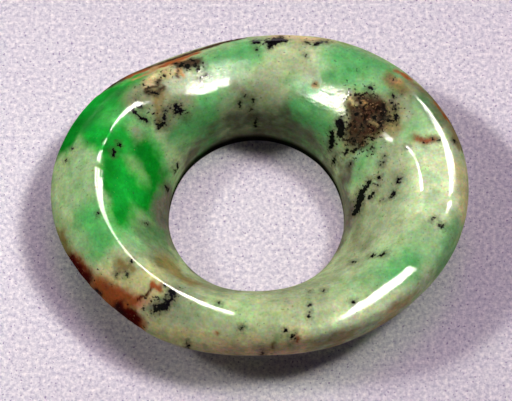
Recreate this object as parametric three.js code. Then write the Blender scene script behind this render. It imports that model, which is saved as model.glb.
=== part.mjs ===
// Stone earflare: an ear ornament carved from one pebble of green jade. A short round stem passes through the
// earlobe, and the stone flares from it to a broad rounded rim that shows in front of the ear.
//
// Millimetres, +Z up. The ring lies as it does on a table, on the foot of its stem with the flare facing up.
// X is the long way of its oval outline, and the middle of the outline's box, at the foot, is the origin.

import * as THREE from "three";

// Overall sizes
const overallLength = 54;
const overallBreadth = 43.6;
const overallHeight = 13.6;

// The throat is the round hole drilled through the stem. It isn't quite in the middle of the outline.
const throatBore = 22.8;
const throatHeight = 4;
const throatShiftX = -0.4;
const throatShiftY = -1.3;

// The stem behind the flare
const stemWall = 3.1;
const stemHeight = 2.6;
const footEdgeRound = 0.6;

// The rim: its widest line stands rimEdgeHeight above the foot, and its belly rounds over below that line.
const rimEdgeHeight = 8;
const rimBelly = 3.4;
const coveRise = 3.2;

// Three flats on the flare. One is the pebble's own rind, which was never ground away. One is an old chip. The
// third is a shallow bevel that the grinding left across the crest. Each is a plane at its distance from the
// origin, and it faces so many degrees round from +X and tilts so many up.
const rindFacing = 112;
const rindTilt = 30;
const rindDistance = 23.1;
const chipFacing = 226;
const chipTilt = 37;
const chipDistance = 25;
const bevelFacing = 310;
const bevelTilt = 73;
const bevelDistance = 19.2;
const flatEdgeRound = 0.35;

// How finely the curved faces are cut into flats
const facetsAround = 144;
const facetsPerCurve = 10;
const facetsPerLand = 2;
const facetsPerEdgeRound = 3;

// A handle of this share of the leg makes a Bezier curve follow a quarter of an ellipse.
const ellipseShare = 0.55;

// The carver followed the pebble, so the section changes round the ring. Each row is a station at a twelfth of
// a turn, counted anticlockwise from +X as seen from above the flare. Its shares are:
//   reach     the rim's distance from the throat, as a share of the oval's own there
//   crest     where the crest begins, from 0 at the throat's wall to 1 at the rim
//   land      the breadth of the level land along the crest, as a share of the same way
//   height    the crest's height, as a share of the overall height
//   wall      how slowly the throat's wall leans out into the funnel
//   funnel    how slowly the funnel turns into the crest
//   shoulder  how slowly the crest turns into the outer face
//   edge      how slowly the outer face turns into the widest line
const stationShares = [
  { reach: 0.998, crest: 0.62, land: 0.17, height: 0.98, wall: 0.3, funnel: 0.15, shoulder: 0.5, edge: 0.87 },
  { reach: 1.015, crest: 0.59, land: 0.16, height: 0.995, wall: 0.78, funnel: 0.46, shoulder: 0.5, edge: 0.82 },
  { reach: 1.028, crest: 0.53, land: 0.13, height: 1, wall: 0.97, funnel: 0.74, shoulder: 0.6, edge: 0.6 },
  { reach: 0.992, crest: 0.6, land: 0.03, height: 1, wall: 0.93, funnel: 0.7, shoulder: 0.55, edge: 0.5 },
  { reach: 1.007, crest: 0.61, land: 0.01, height: 1, wall: 0.92, funnel: 0.7, shoulder: 0.35, edge: 0.45 },
  { reach: 1.003, crest: 0.59, land: 0.01, height: 1, wall: 0.55, funnel: 0.12, shoulder: 0.12, edge: 0.4 },
  { reach: 1, crest: 0.57, land: 0.01, height: 1, wall: 0.42, funnel: 0.1, shoulder: 0.1, edge: 0.38 },
  { reach: 0.99, crest: 0.53, land: 0.01, height: 1, wall: 0.42, funnel: 0.1, shoulder: 0.12, edge: 0.42 },
  { reach: 1.018, crest: 0.485, land: 0.01, height: 1, wall: 0.48, funnel: 0.15, shoulder: 0.18, edge: 0.5 },
  { reach: 1, crest: 0.53, land: 0.02, height: 1, wall: 0.64, funnel: 0.4, shoulder: 0.6, edge: 0.62 },
  { reach: 1.007, crest: 0.62, land: 0.08, height: 1, wall: 0.46, funnel: 0.4, shoulder: 0.85, edge: 0.92 },
  { reach: 0.99, crest: 0.64, land: 0.14, height: 0.99, wall: 0, funnel: 0.3, shoulder: 0.8, edge: 0.92 },
];

// A station share at any turn round the ring, read off a smooth closed curve through the stations.
function shareAt(name, turn) {
  const count = stationShares.length;
  const place = (turn / (2 * Math.PI)) * count;
  const before = Math.floor(place);
  const value = (k) => stationShares[(before + k + count) % count][name];
  const t = place - before;
  const [a, b, c, d] = [value(-1), value(0), value(1), value(2)];
  const [slopeB, slopeC] = [(c - a) / 2, (d - b) / 2];
  return THREE.MathUtils.lerp(b, c, t * t * (3 - 2 * t))
    + (t * (1 - t) ** 2) * slopeB
    - (t * t * (1 - t)) * slopeC;
}

// Distance from the throat's centre line to the rim at a turn round the ring: out along a ray to the oval of
// the outline, whose own middle is elsewhere, and then by the station's reach.
function rimReach(turn) {
  const way = new THREE.Vector2(Math.cos(turn) / overallLength, Math.sin(turn) / overallBreadth);
  const start = new THREE.Vector2(throatShiftX / overallLength, throatShiftY / overallBreadth);
  const along = way.dot(start);
  const short = start.lengthSq() - 1 / 4;
  const toOval = (Math.sqrt(along ** 2 - way.lengthSq() * short) - along) / way.lengthSq();
  return toOval * shareAt("reach", turn);
}

// The section at one turn, as a closed path of (distance out from the throat's centre line, height) points.
function sectionPath(turn) {
  const throatRadius = throatBore / 2;
  const stemRadius = throatRadius + stemWall;
  const rim = rimReach(turn);
  const crest = THREE.MathUtils.lerp(throatRadius, rim, shareAt("crest", turn));
  const landEnd = crest + (rim - throatRadius) * shareAt("land", turn);
  const crestHeight = overallHeight * shareAt("height", turn);
  const edgeHandle = footEdgeRound * (1 - ellipseShare);
  const at = (out, up) => new THREE.Vector2(out, up);
  const path = new THREE.CurvePath();
  const curve = (...points) => path.add(new THREE.CubicBezierCurve(...points));

  // Up the throat and out along the funnel to the crest
  curve(
    at(throatRadius, throatHeight),
    at(throatRadius, THREE.MathUtils.lerp(throatHeight, crestHeight, shareAt("wall", turn))),
    at(THREE.MathUtils.lerp(crest, throatRadius, shareAt("funnel", turn)), crestHeight),
    at(crest, crestHeight),
  );
  // Over the land along the crest and down the outer face to the widest line
  path.add(new THREE.LineCurve(at(crest, crestHeight), at(landEnd, crestHeight)));
  curve(
    at(landEnd, crestHeight),
    at(THREE.MathUtils.lerp(landEnd, rim, shareAt("shoulder", turn)), crestHeight),
    at(rim, THREE.MathUtils.lerp(rimEdgeHeight, crestHeight, shareAt("edge", turn))),
    at(rim, rimEdgeHeight),
  );
  // Round the belly of the rim and in along the underside, which coves down into the stem
  curve(
    at(rim, rimEdgeHeight),
    at(rim, rimEdgeHeight - rimBelly),
    at(stemRadius, stemHeight + coveRise),
    at(stemRadius, stemHeight),
  );
  // The foot, with both its edges rounded
  curve(
    at(stemRadius, footEdgeRound),
    at(stemRadius, edgeHandle),
    at(stemRadius - edgeHandle, 0),
    at(stemRadius - footEdgeRound, 0),
  );
  curve(
    at(throatRadius + footEdgeRound, 0),
    at(throatRadius + edgeHandle, 0),
    at(throatRadius, edgeHandle),
    at(throatRadius, footEdgeRound),
  );
  return path;
}

// The points of a section, the same number at every turn, in order up the throat and round to the foot.
function sectionPoints(turn) {
  const facets = [
    facetsPerCurve, facetsPerLand, facetsPerCurve, facetsPerCurve, facetsPerEdgeRound, facetsPerEdgeRound,
  ];
  const points = sectionPath(turn).curves.flatMap((curve, k) => curve.getPoints(facets[k]));
  return points.filter((point, k) => k === 0 || point.distanceTo(points[k - 1]) > 0);
}

// Presses a point back onto a flat. The edge where the flat meets the round of the rim stays soft.
function pressOnto(point, facing, tilt, distance) {
  const normal = new THREE.Vector3(1, 0, 0)
    .applyAxisAngle(new THREE.Vector3(0, 1, 0), -THREE.MathUtils.degToRad(tilt))
    .applyAxisAngle(new THREE.Vector3(0, 0, 1), THREE.MathUtils.degToRad(facing));
  const over = point.dot(normal) - distance;
  return point.addScaledVector(normal, -flatEdgeRound * Math.log1p(Math.exp(over / flatEdgeRound)));
}

// Lofts the sections round the throat's centre line into one closed skin.
function flaredRingGeometry() {
  const throatShift = new THREE.Vector3(throatShiftX, throatShiftY, 0);
  const positions = [];
  const faces = [];
  let across = 0;
  for (let i = 0; i < facetsAround; i += 1) {
    const turn = (i / facetsAround) * 2 * Math.PI;
    const section = sectionPoints(turn);
    across = section.length;
    for (const { x: out, y: up } of section) {
      const point = new THREE.Vector3(out * Math.cos(turn), out * Math.sin(turn), up);
      point.add(throatShift);
      pressOnto(point, rindFacing, rindTilt, rindDistance);
      pressOnto(point, chipFacing, chipTilt, chipDistance);
      pressOnto(point, bevelFacing, bevelTilt, bevelDistance);
      positions.push(...point);
    }
  }
  for (let i = 0; i < facetsAround; i += 1) {
    const here = i * across;
    const next = ((i + 1) % facetsAround) * across;
    for (let j = 0; j < across; j += 1) {
      const up = (j + 1) % across;
      faces.push(here + j, next + up, next + j);
      faces.push(here + j, here + up, next + up);
    }
  }
  const geometry = new THREE.BufferGeometry();
  geometry.setAttribute("position", new THREE.Float32BufferAttribute(positions, 3));
  geometry.setIndex(faces);
  geometry.computeVertexNormals();
  return geometry;
}

const jade = new THREE.MeshStandardMaterial({ color: 0x8fae84, roughness: 0.2, metalness: 0 });

const flaredRing = new THREE.Mesh(flaredRingGeometry(), jade);
flaredRing.name = "flared_ring";

const earflare = new THREE.Group();
earflare.add(flaredRing);

export default earflare;
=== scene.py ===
# %% [markdown]
# # A carved jade earflare
# An earflare is an ear ornament: a ring of stone with a short stem that passes through a stretched
# earlobe and a broad flare that shows in front of it. This one was ground from a single green
# pebble and polished, and it lies on the foot of its stem with the flare facing up.
#
# The dimensions come from the frame, which holds the ring as one solid. Blender's work is the
# surface: the soft waviness of a form ground by hand, the rough places that the polish never
# reached, and the colours of the stone.

# %% Load the frame
import math

import bpy
import numpy as np
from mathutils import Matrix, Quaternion, Vector, noise


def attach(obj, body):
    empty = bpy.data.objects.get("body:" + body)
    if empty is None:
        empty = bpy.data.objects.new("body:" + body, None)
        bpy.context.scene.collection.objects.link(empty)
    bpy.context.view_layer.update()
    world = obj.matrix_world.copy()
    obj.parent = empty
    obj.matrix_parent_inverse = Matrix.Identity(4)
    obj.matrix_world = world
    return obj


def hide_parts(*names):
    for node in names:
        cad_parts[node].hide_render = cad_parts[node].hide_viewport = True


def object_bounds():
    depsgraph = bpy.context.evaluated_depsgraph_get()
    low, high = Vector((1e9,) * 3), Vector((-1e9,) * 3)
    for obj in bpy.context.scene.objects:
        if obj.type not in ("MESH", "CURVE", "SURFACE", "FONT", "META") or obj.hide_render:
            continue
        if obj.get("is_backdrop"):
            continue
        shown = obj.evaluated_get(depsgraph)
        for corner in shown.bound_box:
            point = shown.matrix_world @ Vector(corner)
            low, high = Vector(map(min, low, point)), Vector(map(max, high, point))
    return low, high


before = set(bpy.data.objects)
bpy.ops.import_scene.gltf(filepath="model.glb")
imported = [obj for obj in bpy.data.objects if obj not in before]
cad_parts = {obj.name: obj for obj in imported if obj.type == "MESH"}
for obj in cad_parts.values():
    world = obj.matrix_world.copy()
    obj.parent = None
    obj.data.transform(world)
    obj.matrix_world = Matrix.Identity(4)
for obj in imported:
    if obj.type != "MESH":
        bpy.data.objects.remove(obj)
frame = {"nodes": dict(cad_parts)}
cad_low, cad_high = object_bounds()
cad_size = [round((high - low) * 1000, 1) for low, high in zip(cad_low, cad_high)]
print("nodes:", ", ".join(frame["nodes"]))
print("the ring measures", cad_size, "mm")

# %% [markdown]
# ## Set up the view
# A small shiny object is photographed from a short way off with a long lens, looking steeply down
# on the table, so that the round of the hole and the slope of the flare both show. The camera
# stands 70 degrees above the table and 300 mm away. Its lens is given by how wide the picture is at
# that distance.

# %% Place the camera
mm = 0.001
camera_rise = math.radians(70)
camera_distance = 300 * mm
picture_width = 66.5 * mm
camera_aim = Vector((-0.45, 0.06, 5.02)) * mm

toward_camera = Vector((0, -math.cos(camera_rise), math.sin(camera_rise)))
camera_data = bpy.data.cameras.new("camera")
camera_data.sensor_width = 36
camera_data.lens = camera_data.sensor_width * camera_distance / picture_width
camera_data.clip_start = 0.01
camera_data.clip_end = 10
camera = bpy.data.objects.new("camera", camera_data)
camera.location = camera_aim + toward_camera * camera_distance
camera.rotation_euler = (math.radians(90) - camera_rise, 0, 0)
bpy.context.collection.objects.link(camera)
bpy.context.scene.camera = camera
print("the lens is", round(camera_data.lens), "mm")

# %% [markdown]
# ## Light the table
# Polished stone is a curved mirror, so every lamp is drawn in it, and the lamps that light a stone
# well aren't the ones that look well in its polish. The two jobs are shared out here.
#
# Four soft boxes light the object and throw its shadows, and the polish doesn't show them. They are
# small for their distance, so that a shadow has an edge. The left and the right one each have a
# grid that narrows the beam, and are aimed across the object at the table beyond: the shadow of one
# then gets only the weak edge of the other's beam, and stays deep. A weak one at the back left
# fills that side alone. The back one has no grid and a violet tint, and throws the short dark
# shadow under the near rim.

# %% Hang the soft boxes
lamp_distance = 500 * mm
grid_angle = math.radians(30)


def hang_lamp(name, direction, aim, breadth, length, power, toe_in=0.0):
    """Hang a lamp in this direction, face it at the aim and turn it by its toe-in, in degrees."""
    data = bpy.data.lights.new(name, "AREA")
    data.shape = "RECTANGLE"
    data.size = breadth
    data.size_y = length
    data.energy = power
    lamp = bpy.data.objects.new(name, data)
    lamp.location = Vector(direction).normalized() * lamp_distance
    faced = (lamp.location - Vector(aim)).to_track_quat("Z", "X")
    turned = Quaternion((0, 0, 1), math.radians(toe_in))
    lamp.rotation_euler = (faced @ turned).to_euler()
    bpy.context.collection.objects.link(lamp)
    print(name, "hangs at", [round(value, 2) for value in lamp.location], "m")
    return lamp


plain = (1.0, 1.0, 0.98)
violet = (0.90, 0.45, 1.0)
no_aim = (0, 0, 0)
for name, direction, aim, breadth, length, power, tint in (
    ("soft_box_left", (-0.80, 0.16, 1.0), (158, 25, 0), 80 * mm, 80 * mm, 0.122, plain),
    ("soft_box_left_back", (-0.36, 0.62, 1.0), (-75, 35, 0), 85 * mm, 85 * mm, 0.0145, plain),
    ("soft_box_right", (0.46, 0.19, 1.0), (-105, -28, 0), 110 * mm, 110 * mm, 0.110, plain),
    ("soft_box_back", (0.05, 0.32, 1.0), no_aim, 110 * mm, 130 * mm, 0.43, violet),
):
    soft_box = hang_lamp(name, direction, Vector(aim) * mm, breadth, length, power)
    soft_box.data.color = tint
    soft_box.visible_glossy = False
    if aim != no_aim:
        soft_box.data.spread = grid_angle

# %% [markdown]
# ## Draw the highlights
# Three strips over the table show in the polish and light nothing. The two long ones are turned on
# the spot, so that their near ends come in toward the middle. The left one draws the thin line
# along the crest on the left and the patch at the far left. The right one draws the broad line on
# the near shoulder and the one down the right. The short one, at the far right, carries that last
# line on round the crest.

# %% Hang the strips
warm = (1.0, 0.97, 0.86)
for name, direction, breadth, length, power, toe_in in (
    ("strip_left", (-0.39, 0.12, 0.91), 145 * mm, 480 * mm, 4.9, 50),
    ("strip_right", (0.30, 0.12, 0.95), 120 * mm, 480 * mm, 4.1, -54),
    ("strip_far_right", (0.54, 0.50, 0.66), 70 * mm, 200 * mm, 1.0, 0),
):
    strip = hang_lamp(name, direction, no_aim, breadth, length, power, toe_in)
    strip.data.color = warm
    strip.visible_diffuse = False

# %% [markdown]
# ## Fill the shadows
# In a room, the walls send a little light back into every shadow. The world does that here, with a
# faint violet.

# %% Fill the shadows a little
fill_colour = (0.62, 0.32, 1.0, 1)
fill_strength = 0.03
world = bpy.data.worlds.new("studio")
world.use_nodes = True
world.node_tree.nodes["Background"].inputs["Color"].default_value = fill_colour
world.node_tree.nodes["Background"].inputs["Strength"].default_value = fill_strength
bpy.context.scene.world = world
bpy.context.scene.view_settings.view_transform = "Standard"
print("lamps:", len(bpy.data.lights), "and a fill of", fill_strength)

# %% [markdown]
# ## Lay the floor
# The table is covered with a pale grey card with a breath of violet. Close to, card isn't one even
# tone: it has a soft mottle, and here and there a dark fibre. Both lie flat, so no mesh is needed
# for them, and two noises in the card's material draw them.

# %% Lay the card
table_breadth = 1.6
card_dark = (0.44, 0.42, 0.50, 1)
card_pale = (0.97, 0.93, 0.89, 1)
fibre_dark = (0.26, 0.20, 0.34, 1)

bpy.ops.object.select_all(action="DESELECT")
bpy.ops.mesh.primitive_plane_add(size=table_breadth)
floor = bpy.context.object
floor.name = "floor"
card = bpy.data.materials.new("card")
card.use_nodes = True
card_nodes, card_links = card.node_tree.nodes, card.node_tree.links
card_shader = card_nodes["Principled BSDF"]
card_shader.inputs["Roughness"].default_value = 0.9
card_shader.inputs["Specular IOR Level"].default_value = 0.0
card_place = card_nodes.new("ShaderNodeTexCoord")
card_tone = card_nodes.new("ShaderNodeMix")
card_tone.data_type = "RGBA"
card_tone.inputs[6].default_value = card_dark
card_tone.inputs[7].default_value = card_pale
card_fibre = card_nodes.new("ShaderNodeMix")
card_fibre.data_type = "RGBA"
card_fibre.inputs[7].default_value = fibre_dark

# %% Speckle the card
for waves_per_metre, detail, low, high, target in (
    (1900, 3.0, 0.28, 0.72, card_tone.inputs[0]),
    (2500, 1.0, 0.64, 0.74, card_fibre.inputs[0]),
):
    mottle = card_nodes.new("ShaderNodeTexNoise")
    mottle.inputs["Scale"].default_value = waves_per_metre
    mottle.inputs["Detail"].default_value = detail
    mottle.inputs["Roughness"].default_value = 0.7
    card_links.new(card_place.outputs["Object"], mottle.inputs["Vector"])
    step = card_nodes.new("ShaderNodeMapRange")
    step.inputs["From Min"].default_value = low
    step.inputs["From Max"].default_value = high
    card_links.new(mottle.outputs["Fac"], step.inputs["Value"])
    card_links.new(step.outputs["Result"], target)
card_links.new(card_tone.outputs[2], card_fibre.inputs[6])
card_links.new(card_fibre.outputs[2], card_shader.inputs["Base Color"])
floor.data.materials.append(card)
floor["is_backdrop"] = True
print("the card is", table_breadth, "m across, with", len(card_nodes), "nodes")

# %% [markdown]
# ## The polished flare
# The frame's ring has the right shape, but its faces are flats. A round ring could be spun anew
# from one section, but no two sections of this one are the same. So the frame's ring is the start:
# a copy of it is merged into one skin, its triangles are joined into squares, and two levels of
# subdivision round them off. That also leaves a point on every quarter of a millimetre, fine enough
# to carry the painting of the stone.

# %% Copy the ring and smooth it
same_place = 1e-6
source = frame["nodes"]["flared_ring"]
ring = bpy.data.objects.new("polished_flare", source.data.copy())
bpy.context.collection.objects.link(ring)
bpy.ops.object.select_all(action="DESELECT")
ring.select_set(True)
bpy.context.view_layer.objects.active = ring
bpy.ops.object.mode_set(mode="EDIT")
bpy.ops.mesh.select_all(action="SELECT")
bpy.ops.mesh.remove_doubles(threshold=same_place)
bpy.ops.mesh.tris_convert_to_quads(face_threshold=math.pi, shape_threshold=math.pi)
bpy.ops.object.mode_set(mode="OBJECT")
print("squares:", len(ring.data.polygons), "not four-sided:",
      sum(len(face.vertices) != 4 for face in ring.data.polygons))

# %% Round it off
rounding = ring.modifiers.new("rounding", "SUBSURF")
rounding.levels = 2
rounding.render_levels = 2
bpy.ops.object.modifier_apply(modifier=rounding.name)
bpy.ops.object.shade_smooth()
print("faces:", len(ring.data.polygons))

# %% [markdown]
# ## The wave of a hand-ground form
# The ring was ground by hand with wet sand, so its faces swell and sink by a few hundredths of a
# millimetre. It can't be seen in the stone, but a line of light that runs along the crest wavers
# with it. It could be sculpted, but a Displace modifier does it evenly: it moves each point along
# its normal by a noise. Its middle level is set to 1, the top of the noise, so that it only ever
# presses in, and the ring stays inside its own outline.

# %% Press in the wave
def press_in(name, step, depth, group=""):
    """Press the ring in by a soft noise of this step and depth, where the vertex group allows."""
    texture = bpy.data.textures.new(name, "CLOUDS")
    texture.noise_scale = step
    press = ring.modifiers.new(name, "DISPLACE")
    press.texture = texture
    press.texture_coords = "LOCAL"
    press.mid_level = 1.0
    press.strength = depth
    press.vertex_group = group
    bpy.ops.object.modifier_apply(modifier=name)


press_in("swell", 7 * mm, 0.14 * mm)
press_in("ripple", 2.6 * mm, 0.035 * mm)
print("the ring now measures", [round(side * 1000, 2) for side in ring.dimensions], "mm")

# %% [markdown]
# ## Paint with strokes
# Jade is never one green. Its colours lie in clouds and veins that run right through the pebble, so
# they are painted in plan, as seen from straight above: each stroke is a line through a few places
# on the stone, in millimetres, with a breadth and a soft edge. Noise alone couldn't put each cloud
# where it belongs, and strokes alone would look drawn. So before the strokes are laid, the ring's
# own points are pushed about by noise, at three scales for the clouds and at two fine ones for the
# small marks. A stroke laid on pushed points comes out ragged, as a cloud in stone is.
#
# The noise module takes its start from the clock unless it is given a seed. It gets one first, so
# that the stone comes out the same every time.

# %% Find every point's place
count = len(ring.data.vertices)
places = np.empty(count * 3)
ring.data.vertices.foreach_get("co", places)
places = places.reshape(-1, 3) / mm
noise.seed_set(2)


def pushed(points, *pushes):
    """The points' places, pushed by a noise of each reach and step in turn, in millimetres."""
    for reach, step in pushes:
        points = np.array([
            Vector(point) + noise.noise_vector(Vector(point) / step) * reach for point in points
        ])
    return points


ragged = pushed(places, (0.9, 3.1), (0.45, 1.1), (0.22, 0.45))
flecked = pushed(places, (0.3, 0.9), (0.18, 0.35))
square = sum(face.area for face in ring.data.polygons) / len(ring.data.polygons)
print("points:", count, "about", round(math.sqrt(square) / mm, 2), "mm apart")

# %% Make the brush
far_off = 1000.0
no_length = 1e-9


def reach_from(points, way):
    """How far each point lies in plan from a way through several places."""
    nearest = np.full(len(points), far_off)
    way = [np.array(place, dtype=float) for place in way]
    for start, end in zip(way, way[1:] or way):
        along = end - start
        share = np.clip((points[:, :2] - start) @ along / max(along @ along, no_length), 0, 1)
        gap = np.linalg.norm(points[:, :2] - start - share[:, None] * along, axis=1)
        nearest = np.minimum(nearest, gap)
    return nearest


def rising(values, low, high):
    """A soft step from 0 at low to 1 at high."""
    share = np.clip((values - low) / (high - low), 0, 1)
    return share * share * (3 - 2 * share)


def cover(points, way, breadth, soft):
    """How much of a stroke of this breadth and soft edge lies on each point, from 0 to 1."""
    return 1 - rising(reach_from(points, way), (breadth - soft) / 2, (breadth + soft) / 2)


# %% [markdown]
# ## The colours of the stone
# The palette holds two emeralds, the lighter greens, the pale and milky body of the stone, and the
# olives, sands and browns where water has stained it. The strokes go on from broad to fine, as an
# underpainting does, and each covers the ones below it. A colour is written as the share of red,
# green and blue light that it gives back.

# %% Lay out the palette
palette = {
    "deep": (0.003, 0.22, 0.012),
    "emerald": (0.008, 0.37, 0.030),
    "leaf": (0.11, 0.50, 0.12),
    "fern": (0.11, 0.40, 0.12),
    "apple": (0.23, 0.48, 0.19),
    "spring": (0.33, 0.53, 0.23),
    "pale": (0.42, 0.60, 0.26),
    "cream": (0.44, 0.54, 0.27),
    "milk": (0.57, 0.71, 0.38),
    "haze": (0.33, 0.40, 0.21),
    "mist": (0.22, 0.25, 0.13),
    "moss": (0.090, 0.20, 0.070),
    # a dark grey for the throat's wall: partly the drilled stone's own colour, partly painted shade
    "murk_and_shade": (0.13, 0.12, 0.085),
    "olive": (0.22, 0.18, 0.055),
    "sand": (0.50, 0.42, 0.20),
    "straw": (0.62, 0.62, 0.27),
    "clay": (0.20, 0.17, 0.065),
    "rose": (0.78, 0.32, 0.15),
    "honey": (0.78, 0.64, 0.33),
}
print("colours:", ", ".join(palette))

# %% Paint the body of the stone
# each row: the places that the stroke passes, its breadth, its soft edge and its colour
body_strokes = [
    # the right side
    ([(21, 3.4), (22, -1), (21.5, -6)], 8.0, 4.6, "milk"),
    ([(16, 4), (15.5, -5), (12.5, -9)], 5.4, 4.6, "haze"),
    ([(14.4, 5.4), (12.6, 2.6)], 2.6, 2.6, "apple"),
    ([(13, -1), (12.6, -7)], 2.2, 2.2, "mist"),
    ([(25.4, 2), (26.4, -3), (25, -8)], 2.4, 1.8, "straw"),
    ([(19, 14), (22.6, 9.8), (25.6, 5.5)], 1.6, 1.4, "mist"),
    ([(20, 13.8), (23.4, 9.6), (26, 5)], 0.9, 0.8, "clay"),
    ([(20.6, 11), (22.2, 8.6)], 2.2, 2.2, "moss"),
    ([(18.4, 10.4), (19.8, 7)], 3.2, 3.0, "apple"),
    ([(17.8, 10.8), (18.6, 8.4)], 2.0, 2.0, "haze"),
    ([(14.5, 12.2), (18.4, 11.6)], 2.6, 2.4, "mist"),
    # the near side
    ([(-8, -17.5), (0, -18.5), (9, -17.6)], 4.4, 3.4, "cream"),
    ([(-6, -17), (-1, -17.8)], 2.4, 2.4, "pale"),
    ([(4.4, -15.6), (7, -15)], 2.4, 2.4, "haze"),
    ([(-8.4, -15.4), (-11, -16.8)], 3.4, 3.2, "haze"),
    ([(20.5, -13.2), (13, -18.2), (7, -20.4)], 2.8, 2.0, "milk"),
    ([(21.4, -14.4), (13, -19.6), (6, -21.8)], 1.0, 0.8, "sand"),
    ([(6, -21.4), (-4, -22), (-12, -20)], 2.6, 1.8, "straw"),
    ([(5, -21.8), (-4, -22.2), (-12, -20.4)], 1.8, 1.4, "honey"),
    ([(21, -8.4), (12.6, -13.6)], 5.4, 4.0, "spring"),
    ([(20, -10.4), (15.6, -13)], 3.6, 3.2, "apple"),
    ([(18.8, -11.6), (17, -12.6)], 2.8, 2.6, "fern"),
    ([(24.8, -6), (23, -10)], 2.4, 2.2, "apple"),
    ([(8, -12.6), (2, -14.2), (-4, -14)], 2.0, 2.0, "haze"),
    # the far side
    ([(-1.5, 14), (9, 14)], 6.0, 4.0, "haze"),
    ([(1, 17.4), (7, 17)], 2.4, 2.4, "cream"),
    ([(7.8, 17.6), (9.6, 15.4)], 2.8, 2.4, "milk"),
    ([(2, 20.2), (11, 19.4)], 1.8, 1.4, "sand"),
    ([(-6, 15.8), (-1.6, 17.6)], 4.6, 3.4, "apple"),
    ([(-4.6, 16), (-1.6, 17.4)], 3.0, 2.8, "fern"),
    ([(12, 15.2), (13.6, 14.4)], 2.4, 2.4, "leaf"),
    ([(-7.4, 12.8), (-3.2, 14.6)], 2.6, 2.4, "apple"),
    ([(10.6, 17), (16.4, 14.2)], 4.8, 3.4, "fern"),
    ([(9.4, 13.8), (13.2, 13.4)], 3.2, 2.6, "fern"),
    ([(13.4, 13.6), (15.2, 13)], 2.2, 2.0, "apple"),
    ([(17.2, 13.4), (18.4, 12.6)], 1.8, 1.8, "olive"),
    ([(4.8, 12.2), (8.4, 10.8)], 3.4, 3.2, "apple"),
    ([(5.4, 11.6), (6.6, 11)], 2.0, 2.0, "fern"),
    ([(-10, 9.8), (-2.6, 12)], 3.4, 3.0, "apple"),
    ([(-8, 10.4), (-5, 11.2)], 2.0, 2.0, "fern"),
    ([(-2.4, 12.6), (0.6, 10.8)], 2.6, 2.4, "mist"),
    ([(-4, 10.2), (4, 10.4)], 3.2, 2.4, "haze"),
    ([(-9.4, 8.3)], 1.6, 1.6, "emerald"),
    # the left side
    ([(-25, 4), (-25.8, -2), (-24.4, -7)], 5.0, 2.8, "pale"),
    ([(-22.4, 2), (-21, -5), (-18.5, -11)], 5.0, 3.4, "spring"),
    ([(-21.6, -4.4), (-19.4, -8.8)], 3.8, 3.2, "leaf"),
    ([(-25.4, -5.6), (-24, -9.6)], 1.8, 1.8, "olive"),
    ([(-23.6, 11), (-19, 14)], 4.0, 3.0, "apple"),
    ([(-25, 8.2), (-21.4, 10), (-19.4, 5.6)], 5.8, 2.4, "emerald"),
    ([(-25.6, 6.6), (-22.6, 8.8)], 4.0, 2.6, "deep"),
    ([(-20.4, 9.8)], 2.0, 2.0, "deep"),
    ([(-21, 11.8), (-15.8, 13.8)], 3.4, 2.2, "emerald"),
    ([(-19.4, 12.4), (-17.4, 13)], 1.8, 1.8, "deep"),
    ([(-18.6, 9.4), (-16, 11)], 3.2, 2.2, "emerald"),
    ([(-17.5, 8), (-13.6, 4.2)], 4.2, 3.0, "leaf"),
    ([(-17.2, 6.4), (-15.4, 4.4)], 2.2, 2.0, "emerald"),
    ([(-16, 7), (-15.2, 6.2)], 1.8, 1.8, "haze"),
    ([(-18.8, 5.4), (-18.2, 0)], 3.4, 2.4, "emerald"),
    ([(-18.8, 3.6)], 2.0, 2.0, "deep"),
    ([(-17.6, 0.6), (-14.4, -1.4)], 4.2, 2.8, "emerald"),
    ([(-14.4, 4.8), (-13.2, 1), (-13.6, -2)], 3.6, 2.4, "deep"),
    ([(-17.6, -1.6), (-16.8, -5.8)], 3.8, 2.6, "emerald"),
    ([(-17, -4.6)], 2.2, 2.2, "deep"),
    ([(-19.4, -0.6), (-19.2, 1.4)], 2.0, 2.0, "deep"),
    ([(-14.4, -6), (-12.6, -4)], 2.8, 2.6, "moss"),
    ([(-15.6, -9.5), (-12.5, -12.5)], 3.0, 2.8, "haze"),
    ([(-16.4, -7.4), (-14.6, -8.6)], 2.2, 2.2, "apple"),
    # the throat's wall and the foot of the funnel: the murk, moss, mist and olive here are partly
    # the stone's own colour and partly painted shade
    ([(-12, -5.4), (-12.6, -2), (-12, 1.5)], 1.8, 1.6, "murk_and_shade"),
    ([(4.8, 9.8), (8.6, 8)], 3.0, 2.6, "fern"),
    ([(-11, 7.4), (-7, 9)], 2.2, 2.2, "fern"),
    ([(-13, -6.4), (-12.4, -8.4)], 2.8, 2.6, "moss"),
    ([(-12.6, -9.4), (-10.4, -12), (-5, -13.8)], 3.0, 3.0, "mist"),
    ([(-12, -10.2), (-10.2, -12.2), (-8, -13.2)], 1.8, 1.8, "olive"),
    ([(8.6, -12.4), (12, -9.8)], 2.4, 2.4, "haze"),
    ([(11.2, 3), (11.7, -1), (11.3, -4)], 1.2, 1.2, "murk_and_shade"),
    # the milky corner and the stained one
    ([(-15.4, 11.2), (-10.4, 12.8)], 4.2, 2.8, "mist"),
    ([(-12.8, 9.4), (-9.6, 10.8)], 2.8, 2.4, "mist"),
    ([(-10.4, 13), (-8.4, 13.8)], 2.2, 2.0, "haze"),
    ([(-13.2, 12), (-13.4, 8.8)], 0.9, 0.8, "olive"),
    ([(-19, -12), (-16.6, -12.8), (-13.6, -12.6)], 2.6, 2.2, "straw"),
    ([(-18.4, -10.2), (-15.4, -11.4)], 2.2, 2.0, "cream"),
    ([(-17.8, -11.4), (-16.2, -12)], 1.2, 1.1, "olive"),
    ([(-16.8, -14.8), (-12.6, -15.8)], 3.0, 2.4, "straw"),
    ([(-15.4, -15.8), (-13.8, -16)], 1.4, 1.4, "rose"),
    ([(-13.4, -17), (-10.8, -15.4)], 2.4, 2.4, "mist"),
    ([(-13.6, -18.6), (-8, -20.8)], 1.8, 1.6, "straw"),
]
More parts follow.
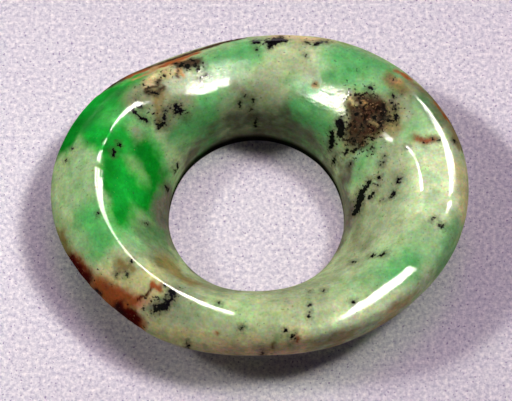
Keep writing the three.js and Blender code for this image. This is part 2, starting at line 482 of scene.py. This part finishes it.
body = np.tile(np.array(palette["cream"]), (count, 1))
for way, breadth, soft, colour in body_strokes:
    body += (np.array(palette[colour]) - body) * cover(ragged, way, breadth, soft)[:, None]
print("strokes:", len(body_strokes))

# %% [markdown]
# ## Stain it and leave it rough
# Three places were never polished: the pebble's own rind along the far left edge, a patch of brown
# inclusions on the far right, and the old chip at the near left, where iron has turned the stone
# red. Small spots of rust show here and there as well. All of these are laid on the finely pushed
# points, which keep small marks in their place, and they fade out under the rim, from 6 mm above
# the foot down to 3.5. Each stroke also says how rough the stone is under it.

# %% Stain the surface
palette.update({
    "soot": (0.010, 0.010, 0.008),
    "umber": (0.050, 0.024, 0.012),
    "rust": (0.32, 0.085, 0.022),
    "ochre": (0.44, 0.26, 0.095),
    "maroon": (0.060, 0.005, 0.003),
})
# each row: the places, the breadth, the soft edge, the colour and how rough the place is
stain_strokes = [
    # the rind along the far left edge
    ([(-21, 13.8), (-15, 16.8), (-9, 18.8), (-2.5, 20.8)], 1.4, 0.9, "umber", 0.9),
    ([(-17, 15.6), (-15, 16.4)], 1.2, 0.9, "rust", 0.5),
    ([(-13.6, 16.2), (-10, 16.9)], 1.6, 1.2, "ochre", 0.9),
    ([(-12, 16.9), (-8, 18)], 0.9, 0.8, "rust", 0.6),
    ([(-10.2, 15.8), (-8.2, 16)], 1.6, 1.0, "umber", 0.8),
    ([(-14.2, 12.8), (-13.4, 14.2), (-12, 14.6)], 1.7, 0.9, "sand", 0.9),
    ([(-13.6, 14.2), (-12.2, 15.6)], 0.7, 0.5, "straw", 0.8),
    ([(-12.2, 15), (-10.6, 14.6)], 1.0, 0.7, "sand", 0.7),
    ([(-13, 16.2), (-10.6, 16.4)], 0.6, 0.5, "rust", 0.7),
    ([(-11, 16.2), (-10.4, 15.2), (-10.6, 14)], 0.45, 0.3, "umber", 0.7),
    ([(-10.2, 14.8), (-9.8, 14)], 0.5, 0.4, "ochre", 0.7),
    ([(-16.4, 14.2), (-14.8, 14.8), (-13.6, 15.4)], 0.5, 0.5, "ochre", 0.5),
    ([(-14.4, 12.2), (-13.2, 12.6), (-12.8, 13.4)], 0.4, 0.3, "umber", 0.8),
    ([(-12.4, 12.6), (-12.6, 10.4)], 0.5, 0.4, "clay", 0.4),
    ([(-14.6, 11.9), (-13.2, 11.7), (-12.3, 12.4)], 0.6, 0.4, "umber", 0.7),
    # the patch of brown inclusions
    ([(12.4, 10.2), (16.6, 9.4), (16.6, 7.4), (12.2, 6.6)], 2.8, 2.4, "clay", 0.4),
    ([(17, 8.4), (17.6, 7)], 1.2, 1.0, "clay", 0.2),
    ([(12.6, 10.2), (15, 10)], 2.4, 1.4, "umber", 1.0),
    ([(12.5, 8.8), (15.2, 8.4)], 2.4, 1.2, "umber", 1.0),
    ([(12.2, 7.2), (14.4, 7)], 2.2, 1.2, "umber", 1.0),
    ([(11.8, 6), (13.2, 5.4)], 1.4, 1.2, "umber", 0.8),
    ([(15.9, 10.2), (16, 8.4), (15.2, 7.2)], 0.8, 0.6, "soot", 0.9),
    ([(11.5, 10.7), (12.3, 10.2)], 0.6, 0.4, "sand", 0.8),
    ([(13.2, 10.6), (13.6, 9.8)], 0.5, 0.4, "ochre", 0.9),
    ([(14.4, 8), (15, 7.4)], 0.5, 0.4, "clay", 0.8),
    ([(12.8, 9.4), (14.4, 9.6)], 0.6, 0.6, "umber", 0.9),
    # the old chip at the near left
    ([(-23.6, -9.8), (-21.4, -13), (-18.6, -15.4), (-15.4, -18.2)], 2.2, 1.0, "rust", 0.7),
    ([(-21.4, -12.6), (-17.8, -14.8)], 2.4, 1.4, "ochre", 0.5),
    ([(-18.6, -15), (-17.8, -15.8)], 0.8, 0.6, "maroon", 0.6),
    ([(-20.4, -13.2), (-18, -14.8)], 1.9, 1.1, "rust", 0.6),
    ([(-17.2, -14.6), (-15.6, -15.4)], 1.4, 1.2, "rust", 0.4),
    ([(-24.2, -9.4), (-23, -11), (-22, -12)], 1.8, 1.0, "maroon", 0.7),
    ([(-17.6, -16), (-15.8, -17.6)], 1.9, 1.0, "maroon", 0.7),
    ([(-20.9, -13.4), (-20.2, -13.9)], 0.7, 0.5, "soot", 0.7),
    ([(-18.4, -16), (-17.4, -17.2)], 1.1, 0.8, "soot", 0.7),
    ([(-16.6, -15.7), (-15.2, -15.3)], 0.7, 0.6, "rust", 0.4),
    ([(-15.2, -15.4), (-14, -14.9), (-13.3, -14.2)], 0.4, 0.2, "maroon", 0.5),
    ([(-13.3, -14), (-12.4, -14.5)], 0.8, 0.6, "rust", 0.3),
    # smaller marks
    ([(19.7, 5.5), (21, 5), (22.3, 5.4)], 1.1, 1.0, "olive", 0.2),
    ([(19.9, 5.3), (21, 5), (22.2, 5.3)], 0.5, 0.4, "rust", 0.4),
    ([(17, 13.4), (17.9, 13.4)], 0.7, 0.6, "ochre", 0.4),
    ([(7.1, 12.9)], 0.9, 0.8, "ochre", 0.4),
    ([(17.8, 15.2), (19.4, 14.2)], 0.8, 0.7, "rust", 0.4),
    ([(22.6, 11), (24.4, 8.4)], 0.4, 0.4, "rust", 0.3),
    ([(-5.2, -19.8)], 0.5, 0.5, "rust", 0.2),
    ([(1.7, -21.2)], 0.6, 0.5, "clay", 0.2),
    ([(4.7, -20.8)], 0.5, 0.4, "rust", 0.2),
]
fade_low, fade_high = 3.5, 6
barely_rough = 0.05
upper = rising(places[:, 2], fade_low, fade_high)
rough = np.zeros(count)
for way, breadth, soft, colour, roughness in stain_strokes:
    lay = cover(flecked, way, breadth, soft) * upper
    body += (np.array(palette[colour]) - body) * lay[:, None]
    rough += (roughness - rough) * lay
print("stains:", len(stain_strokes), "rough points:", int((rough > barely_rough).sum()))

# %% [markdown]
# ## The ink
# Dark mineral specks lie in loose groups over the green. They are too small to paint on the ring's
# points, which are a quarter of a millimetre apart, so each point only notes how far it is from the
# nearest speck's edge. The material draws the edge itself, between the points, and makes it
# crumbly.

# %% Note the distance to the specks
# each row: a breadth, and the places that the speck passes
no_speck = 3.0
specks = [
    # far left
    (0.5, (-15.7, 10.3), (-15.3, 10.1)), (0.34, (-16.3, 9.4), (-15.3, 8.7), (-14.5, 8.2)),
    (0.26, (-15.2, 9.6)), (0.3, (-14.2, 11.8), (-13.2, 11.6)), (0.66, (-12.9, 8), (-12.4, 8.2)),
    (0.36, (-12.3, 8.7), (-12, 9.6)), (0.4, (-11.4, 9.9)), (0.36, (-11, 10.3), (-10.6, 10)),
    (0.6, (-10.6, 9.5), (-10.2, 9.8)), (0.34, (-10.1, 10.3)), (0.26, (-9.8, 9.1)),
    (0.24, (-9.3, 9.5)), (0.34, (-7.6, 13.6), (-6.8, 14.1), (-6.3, 14)), (0.7, (-10, 15.7)),
    (0.7, (-9.3, 15.4)), (0.4, (-8.6, 16.3)), (0.5, (-8.3, 15.5)), (0.3, (-7.2, 15.3)),
    (0.26, (-10.8, 16.2)), (0.24, (-9, 16.6)), (0.24, (-7.6, 16.2)), (0.24, (-13.2, 13.2)),
    (0.2, (-12.6, 12.2)),
    # left
    (0.3, (-24, 5)), (0.26, (-24.8, 3.4)), (0.34, (-18.6, 3.3), (-18.5, 4)), (0.4, (-17.9, 4.9)),
    (0.34, (-10.7, 4.6)), (0.3, (-10.9, 3.9)), (0.34, (-12, 1.5)), (0.26, (-20.4, -4.8)),
    (0.36, (-14.4, -4.7)),
    # near left
    (0.3, (-17.9, -12.3)), (0.24, (-16.7, -12.2), (-16.5, -12.6)), (0.3, (-16, -11)),
    (0.9, (-10.9, -15.3)), (0.5, (-11.2, -16), (-11.7, -16.1)),
    (0.7, (-12.9, -16.7), (-11.6, -16.6)), (0.3, (-11.7, -14.3)), (0.3, (-9, -9.3), (-7.8, -10.3)),
    (0.3, (-5, -16.6)), (0.34, (-9, -20.6)),
    # near
    (0.34, (-2.3, -19.5)), (0.4, (3.1, -20)), (0.3, (3.9, -20.6), (4.3, -20.5)),
    (0.3, (0.4, -21.8)), (0.2, (6.2, -16.7)), (0.22, (6.2, -17.6)), (0.2, (6.1, -18.3)),
    (0.3, (8, -14.6)), (0.2, (6.2, -14.6)),
    # near right
    (0.36, (14.1, -9.5), (14.5, -9.7)), (0.34, (15.3, -9.9), (15.8, -9.7)), (0.34, (11.9, -9.8)),
    (0.34, (21.9, -5.4), (21.8, -5.6)), (0.36, (22.7, -6.2), (22.95, -6.4)), (0.3, (11.6, -16.4)),
    # right
    (0.85, (13.2, 0.1), (12.9, -1), (12.4, -2)), (0.5, (14.1, 1), (13.5, 0.3)),
    (0.45, (14.6, -0.4), (14.2, -0.8)), (0.34, (15.3, 1.3)), (0.3, (15.1, 0.4)),
    (0.36, (17.9, 0.5), (17.6, 0.2)), (0.4, (17.1, -1.1), (16.8, -1.5)), (0.26, (15.6, -1.7)),
    (0.42, (14.3, 4.7)), (0.22, (15.9, 3.5)), (0.36, (15.6, 2.8)), (0.3, (18.8, 4.3)),
    (0.3, (21, 5)), (0.3, (22, 5.3)), (0.26, (22.9, 5.2)), (0.3, (24.9, 5.4)),
    # far right
    (0.9, (10.3, 8.1), (10.5, 6.9)), (0.6, (9.4, 7.2), (9.3, 6.2)), (0.34, (10.5, 8.7)),
    (0.5, (11.2, 4.9)), (0.5, (12.2, 4.9)), (0.4, (9.7, 4.9)), (0.3, (11.7, 3.5)),
    (0.6, (12.4, 8.9)), (0.5, (14.7, 8.4)), (0.5, (13, 7.4)), (0.5, (12.1, 6)), (0.4, (13, 10.4)),
    (0.34, (16.9, 10.2)), (0.45, (17.2, 9.4)), (0.5, (17.4, 8.5)), (0.6, (17.3, 7.9)),
    (0.5, (16.5, 7.9)), (0.28, (17.2, 11.3)), (0.24, (18.2, 11.7)), (0.3, (17.2, 13.5)),
    (0.42, (14.1, 12.2), (14.4, 12.4)), (0.3, (14.8, 11.1)),
    # far
    (0.66, (-0.7, 19), (-0.3, 19.1)), (1.1, (1.5, 18.8), (2.7, 19.4)), (0.5, (2.7, 20.1)),
    (0.6, (3.1, 19.2)), (0.5, (1.3, 18.1)), (0.24, (-0.4, 17.8)), (0.34, (6.2, 18.9)),
    (0.34, (7.2, 18.6), (8.2, 19.1), (8.7, 19.2)), (0.28, (6, 17)), (0.22, (7.1, 12.9)),
    (0.34, (-2.6, 11.1)), (0.28, (-1.8, 11.9)), (0.26, (-0.8, 11.4)), (0.22, (-1.1, 10.8)),
    (0.2, (-0.5, 10.2)),
]
edge = np.full(count, no_speck)
for breadth, *way in specks:
    edge = np.minimum(edge, reach_from(places, way) - breadth / 2)
edge = np.where(upper > 0.5, edge, no_speck)
print("specks:", len(specks))

# %% [markdown]
# ## Crumbs, dull places and grit
# Three more things are noted at every point. In some places the stone is full of black crumbs,
# thick in the middle of the place and thinning out round it. In some it is dull and draws no lamp:
# the inside of the throat was left as the drill made it, the steep outer face is hard to reach with
# the polishing stick, and the crest is worn here and there. A narrow dull stroke across a line of
# light breaks it, as a scratch or a worn spot does. And in two places on the far side the polish
# stopped while the surface was still a little gritty, which spreads the light of a lamp.

# %% Mark the crumbs
# each row: the places, the breadth, the soft edge and how thick the crumbs lie
crumb_strokes = [
    ([(13.2, 9.8), (14.4, 8), (12.6, 6.4)], 6.4, 5.4, 0.85),
    ([(9.6, 6.8), (12.6, 4.6)], 3.6, 3.4, 0.6),
    ([(16.8, 9.6), (17.2, 8)], 2.6, 2.4, 0.7),
    ([(13, -0.6), (14.8, 1.4)], 2.6, 2.4, 0.5),
    ([(-22.4, -11.4), (-15.8, -17.4)], 3.6, 2.6, 0.36),
    ([(-13.6, -16.6), (-10.9, -15.2)], 2.8, 2.4, 0.72),
    ([(-10, 15.4), (-7.4, 15.8)], 2.6, 2.2, 0.8),
    ([(-15, 12.6), (-10, 15.8)], 3.0, 2.6, 0.6),
    ([(-14.6, 9.4), (-10.4, 10)], 3.0, 2.8, 0.5),
    ([(0.4, 18.9), (3, 19.3)], 2.2, 2.0, 0.8),
    ([(5.8, 18.8), (8.8, 19.2)], 1.8, 1.6, 0.6),
    ([(12.4, 16), (16, 12.4), (18, 13.4)], 3.0, 3.0, 0.35),
]
crumbly = np.zeros(count)
for way, breadth, soft, strength in crumb_strokes:
    crumbly = np.maximum(crumbly, cover(ragged, way, breadth, soft) * strength)
crumbly *= upper
print("points with crumbs:", int((crumbly > 0.3).sum()))

# %% Mark the dull places
throat_x, throat_y = -0.4, -1.3
facing_up = np.empty(count * 3)
ring.data.vertex_normals.foreach_get("vector", facing_up)
facing_up = facing_up.reshape(-1, 3)[:, 2]
# each row: the places, the breadth, the soft edge and how dull the place is
dull_strokes = [
    ([(24.8, -5.4), (23.6, -7.6), (22.2, -9.4), (21.4, -10.4)], 2.6, 1.4, 1.0),
    ([(3.4, -19.2), (8, -19)], 3.0, 2.4, 0.8),
    ([(-1.8, -18.2), (2, -18.6)], 2.4, 1.8, 1.0),
    ([(8.6, -18), (19.8, -9.4)], 1.9, 0.7, 1.0),
    ([(19.6, -10.4), (22.4, -10.2)], 2.4, 1.2, 1.0),
    ([(-2.0, 14.2), (6.0, 13.4)], 4.0, 1.2, 1.0),
    ([(-14.4, 11.9), (-10.8, 12.6)], 2.9, 0.8, 1.0),
    ([(16.2, 8.4), (18.2, 6.2)], 2.6, 0.8, 1.0),
    ([(17.6, 5.4), (19.3, 2.2), (19.8, -2.6)], 1.1, 0.5, 1.0),
    ([(20.8, -2.8)], 2.0, 1.0, 1.0),
    ([(23.4, -2.5), (25.2, -2.3)], 0.5, 0.3, 1.0),
    ([(-21.8, 6.5), (-19.4, 6.1)], 0.8, 0.4, 1.0),
    ([(-21.8, 4.4), (-19.8, 4.2)], 0.45, 0.3, 1.0),
    ([(-21.8, 1.9), (-19.8, 1.7)], 0.6, 0.3, 1.0),
]
drilled = (11.6, 13.2)
steep = (0.62, 0.82)
from_throat = np.hypot(places[:, 0] - throat_x, places[:, 1] - throat_y)
dull = np.maximum(1 - rising(from_throat, *drilled), 1 - rising(facing_up, *steep))
for way, breadth, soft, strength in dull_strokes:
    dull = np.maximum(dull, cover(flecked, way, breadth, soft) * strength)
dull = np.maximum(dull, 1 - upper)
print("dull points:", int((dull > 0.5).sum()))

# %% Mark the grit
# each row: the places, the breadth and the soft edge
grit_strokes = [
    ([(-10.4, 13.4), (-3, 15.2)], 3.6, 1.4),
    ([(6.6, 12.4), (11, 10.2)], 4.0, 1.6),
]
grit = np.zeros(count)
for way, breadth, soft in grit_strokes:
    grit = np.maximum(grit, cover(flecked, way, breadth, soft))
grit *= 1 - rising(rough, barely_rough, 0.3)
print("gritty points:", int((grit > 0.5).sum()))

# %% [markdown]
# ## The throat's wall
# The wall of the throat was drilled and never polished, and it lies in shade, so it is painted
# greyer than the stone above it, partly in its own grey and partly as painted shade. Its foot is
# painted nearly black as a painted shadow, reaching highest on the far side. One stroke can't
# follow a wall, because strokes are laid in plan, so both are painted by the distance from the
# middle of the throat.

# %% Grey the wall with painted shade and paint a shadow at its foot
wall_grey_and_shade = np.array(palette["murk_and_shade"]) * 0.85
wall_cover = 0.9
wall_fades = (11.2, 12.4)
foot_shadow_cover = 0.97
foot_shadow_fades = (11.8, 13.4)
# painted shade, in part: the wall is greyed toward a dark murk inside the throat
wall = 1 - rising(np.hypot(ragged[:, 0] - throat_x, ragged[:, 1] - throat_y), *wall_fades)
body += (wall_grey_and_shade - body) * wall_cover * wall[:, None]
# painted shadow: the foot of the wall is darkened nearly to black, up to a height that rises toward
# the far side
foot_shadow_height = 1.4 + rising(places[:, 1], -3, 5)
foot = 1 - rising(places[:, 2], foot_shadow_height - 0.4, foot_shadow_height + 0.6)
foot *= 1 - rising(from_throat, *foot_shadow_fades)
body *= 1 - foot_shadow_cover * foot[:, None]
print("points on the wall:", int((wall > 0.5).sum()), "at its foot:", int((foot > 0.5).sum()))

# %% [markdown]
# ## Keep the painting on the ring's points
# Each thing painted becomes an attribute: a list with one colour or one number for every point,
# kept in the mesh under a name. The material reads it by that name. A picture wrapped round the
# ring could hold the same, but it would need a seam and would stretch, and the points already lie
# closely enough.

# %% Store the attributes
underpainting = ring.data.attributes.new("underpainting", "FLOAT_COLOR", "POINT")
underpainting.data.foreach_set("color", np.hstack([body, np.ones((count, 1))]).ravel())
for name, values in (
    ("rough", rough), ("speck_edge", edge), ("dull", dull), ("crumbly", crumbly), ("grit", grit),
):
    attribute = ring.data.attributes.new(name, "FLOAT", "POINT")
    attribute.data.foreach_set("value", values)
print("attributes:", [kept.name for kept in ring.data.attributes if not kept.is_internal])

# %% [markdown]
# ## Pit the rough places
# Water has eaten the softer grains out of the rough places. A bump in the material could look like
# that from above, but the edge of the stone would still be smooth. So a second press goes in deeper
# there and nowhere else: it is weighed by a vertex group that holds how rough each point is.

# %% Press in the pits
pits = ring.vertex_groups.new(name="pits")
for index in np.flatnonzero(rough > barely_rough):
    pits.add([int(index)], float(rough[index]), "REPLACE")
press_in("pits", 0.9 * mm, 0.22 * mm, pits.name)
print("the pitted ring measures", [round(side * 1000, 2) for side in ring.dimensions], "mm")

# %% [markdown]
# ## The polished jade
# The underpainting gives each place its colour, and the material adds the grain, the specks and the
# gloss. It is a graph of nodes. Such a graph is easily wired by hand, but in a script every node
# takes four or five lines, so the kinds that come again and again each get a short helper.
#
# All the grain is noise, read on Object coordinates in millimetres. It then has its real size, and
# it runs through the stone without a seam, as the real grain does.

# %% Start the jade
jade = bpy.data.materials.new("jade")
jade.use_nodes = True
nodes, links = jade.node_tree.nodes, jade.node_tree.links
shader = nodes["Principled BSDF"]
jade_place = nodes.new("ShaderNodeTexCoord")
in_mm = nodes.new("ShaderNodeVectorMath")
in_mm.operation = "SCALE"
in_mm.inputs["Scale"].default_value = 1 / mm
links.new(jade_place.outputs["Object"], in_mm.inputs[0])
where = in_mm.outputs["Vector"]
print("the jade starts with:", ", ".join(node.name for node in nodes))


# %% Read what is painted, and noise
def attribute_of(name, output="Fac"):
    """Read a painted attribute."""
    node = nodes.new("ShaderNodeAttribute")
    node.attribute_name = name
    return node.outputs[output]


def noise_of(scale, detail, roughness=0.5, output="Fac"):
    """Noise from 0 to 1 with this many waves to a millimetre."""
    node = nodes.new("ShaderNodeTexNoise")
    node.inputs["Scale"].default_value = scale
    node.inputs["Detail"].default_value = detail
    node.inputs["Roughness"].default_value = roughness
    links.new(where, node.inputs["Vector"])
    return node.outputs[output]


def remap(value, from_low, from_high, to_low=0.0, to_high=1.0, interpolation="LINEAR"):
    """Carry a value from one range into another, and hold it there."""
    node = nodes.new("ShaderNodeMapRange")
    node.interpolation_type = interpolation
    node.inputs["From Min"].default_value = from_low
    node.inputs["From Max"].default_value = from_high
    node.inputs["To Min"].default_value = to_low
    node.inputs["To Max"].default_value = to_high
    links.new(value, node.inputs["Value"])
    return node.outputs["Result"]


# %% Reckon and blend
def join(source, target):
    """Link a socket, or set a plain number or colour, on a node's input."""
    if isinstance(source, bpy.types.NodeSocket):
        links.new(source, target)
    else:
        target.default_value = source


def reckon(operation, first, second, third=0.0):
    """One sum of two or three values."""
    node = nodes.new("ShaderNodeMath")
    node.operation = operation
    for socket, value in zip(node.inputs, (first, second, third)):
        join(value, socket)
    return node.outputs["Value"]


def mixed(factor, first, second, blend="MIX"):
    """Blend two colours."""
    node = nodes.new("ShaderNodeMix")
    node.data_type = "RGBA"
    node.blend_type = blend
    for index, value in ((0, factor), (6, first), (7, second)):
        join(value, node.inputs[index])
    return node.outputs[2]


def grey(value):
    """A value as a grey colour."""
    node = nodes.new("ShaderNodeCombineColor")
    for socket in node.inputs:
        links.new(value, socket)
    return node.outputs["Color"]


# %% [markdown]
# ## The grain of the stone
# Jade isn't one even green at any scale. Each noise here does one thing to the underpainting.
# Clouds make it lighter and darker, threads make it milky, veins make it deeper, and two finer
# noises let the hue itself wander. The pale stone has small rusty dots as well, where water got in,
# and there are dark pores all over.

# %% Lay clouds, threads and veins
milkier = (1.35, 1.25, 1.3, 1)
deeper = (0.60, 0.80, 0.58, 1)
painted = attribute_of("underpainting", "Color")
clouds = remap(noise_of(0.42, 5.0, 0.6), 0.28, 0.72, 0.74, 1.24)
colour = mixed(1.0, painted, grey(clouds), "MULTIPLY")
threads = remap(noise_of(0.9, 4.0, 0.65), 0.5, 0.75, 0.0, 0.7)
colour = mixed(threads, colour, mixed(1.0, colour, milkier, "MULTIPLY"))
veins = remap(noise_of(0.65, 5.0, 0.6), 0.5, 0.72, 0.0, 0.8)
colour = mixed(veins, colour, mixed(1.0, colour, deeper, "MULTIPLY"))
print("nodes after the veins:", len(nodes))


# %% Let the hue wander
def wandering(scale, detail, strength):
    """A colour near white whose red, green and blue each wander by noise."""
    swings = (strength, strength * 0.8, strength * 1.2)
    node = nodes.new("ShaderNodeVectorMath")
    node.operation = "MULTIPLY_ADD"
    node.inputs[1].default_value = swings
    node.inputs[2].default_value = [1 - swing / 2 for swing in swings]
    links.new(noise_of(scale, detail, output="Color"), node.inputs[0])
    return node.outputs["Vector"]


colour = mixed(1.0, colour, wandering(1.1, 3.0, 0.5), "MULTIPLY")
colour = mixed(1.0, colour, wandering(3.0, 2.0, 0.8), "MULTIPLY")
print("nodes after the wander:", len(nodes))

# %% Add rusty dots and dark pores
dot_brown = (0.22, 0.13, 0.04, 1)
pore_dark = (0.03, 0.05, 0.02, 1)
painted_parts = nodes.new("ShaderNodeSeparateColor")
links.new(painted, painted_parts.inputs["Color"])
paleness = remap(painted_parts.outputs["Red"], 0.12, 0.3)
dots = reckon("MULTIPLY", remap(noise_of(2.1, 1.0), 0.72, 0.78, 0.0, 0.5), paleness)
colour = mixed(dots, colour, dot_brown)
pores = remap(noise_of(2.7, 1.0), 0.71, 0.76, 0.0, 0.5)
colour = mixed(pores, colour, pore_dark)
print("nodes after the pores:", len(nodes))

# %% [markdown]
# ## Crumbs and ink
# The crumbs are the peaks of a noise. What was noted at the points is added to it, so that more of
# it rises above the cut where the stone is full of them. The rough places get their tan flecks in
# the same way.
#
# A speck's edge is where the noted distance is nought. Another noise pushes the edge in and out,
# and a brown halo round it is the stain that has crept into the green.

# %% Draw the crumbs
crumb_black = (0.008, 0.006, 0.004, 1)
crumbs = noise_of(1.9, 3.0, 0.6)
crumbs_here = reckon("MULTIPLY_ADD", attribute_of("crumbly"), 0.30, crumbs)
colour = mixed(remap(crumbs_here, 0.74, 0.80, 0.0, 0.98), colour, crumb_black)
print("nodes after the crumbs:", len(nodes))

# %% Fleck the rough places
fleck_tan = (0.34, 0.20, 0.09, 1)
rough_here = attribute_of("rough")
flecks_here = reckon("MULTIPLY_ADD", rough_here, 0.10, noise_of(3.1, 2.0, 0.6))
colour = mixed(remap(flecks_here, 0.72, 0.77, 0.0, 0.6), colour, fleck_tan)
print("nodes after the flecks:", len(nodes))

# %% Draw the ink
halo_brown = (0.06, 0.055, 0.03, 1)
ink_black = (0.006, 0.007, 0.005, 1)
crumble = remap(noise_of(2.2, 3.0, 0.65), 0.3, 0.7, -0.5, 0.5)
speck_edge = reckon("MULTIPLY_ADD", crumble, 0.55, attribute_of("speck_edge"))
halo = remap(speck_edge, 0.02, 0.75, 0.5, 0.0, "SMOOTHSTEP")
colour = mixed(halo, colour, halo_brown)
speck = remap(speck_edge, -0.04, 0.10, 1.0, 0.0, "SMOOTHSTEP")
colour = mixed(speck, colour, ink_black)
links.new(colour, shader.inputs["Base Color"])
print("nodes after the ink:", len(nodes))

# %% [markdown]
# ## The polish
# A polish shows in two things: how sharply the stone draws a lamp, and how strongly. Both fall off
# where it is rough or dull. The gritty places keep their strength, and a bump spreads the light in
# them. Jade also lets light a little way in, so a fifth of its light is spread under the surface.

# %% Set the gloss
matt = reckon("MAXIMUM", rough_here, attribute_of("dull"))
links.new(remap(matt, 0.2, 1.0, 0.10, 0.65), shader.inputs["Roughness"])
shine = reckon("MULTIPLY_ADD", attribute_of("grit"), 0.45, remap(matt, 0.0, 0.4, 0.55, 0.0))
links.new(shine, shader.inputs["Specular IOR Level"])
shader.inputs["IOR"].default_value = 1.66
print("nodes after the gloss:", len(nodes))

# %% Let the light in
light_reach = 0.8 * mm
shader.inputs["Subsurface Weight"].default_value = 0.2
shader.inputs["Subsurface Radius"].default_value = (0.8, 1.0, 0.6)
shader.inputs["Subsurface Scale"].default_value = light_reach
print("green light goes", round(light_reach / mm, 2), "mm in, and red and blue a little less")


# %% Tilt the surface by its grain
def bumped(height, depth, normal=None):
    """Tilt the surface by a height from 0 to 1 that stands for this depth."""
    node = nodes.new("ShaderNodeBump")
    node.inputs["Distance"].default_value = depth
    links.new(height, node.inputs["Height"])
    if normal:
        links.new(normal, node.inputs["Normal"])
    return node.outputs["Normal"]


grain_height = noise_of(2.8, 2.0, 0.6)
grit_height = reckon("MULTIPLY", grain_height, attribute_of("grit"))
crumb_height = reckon("MULTIPLY", crumbs, rough_here)
normal = bumped(grain_height, 0.014 * mm)
normal = bumped(grit_height, 0.075 * mm, normal)
normal = bumped(crumb_height, 0.12 * mm, normal)
links.new(normal, shader.inputs["Normal"])
print("nodes in the jade:", len(nodes))

# %% [markdown]
# ## Set it in the frame
# The finished ring stands in for the frame's own, which stays hidden and does the touching in the
# simulation. It rides on the one body there is, and takes its finish from the record's jade.

# %% Dress the ring and set it in
ring.data.materials.clear()
ring.data.materials.append(jade)
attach(ring, "root")
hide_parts("flared_ring")
print(ring.name, "is made of", ring.data.materials[0].name)

# %% [markdown]
# ## Write down the size
# The finish may not make the ring any larger. The frame's box and the finished ring's are both
# written down.

# %% Write down the size and finish
low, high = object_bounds()
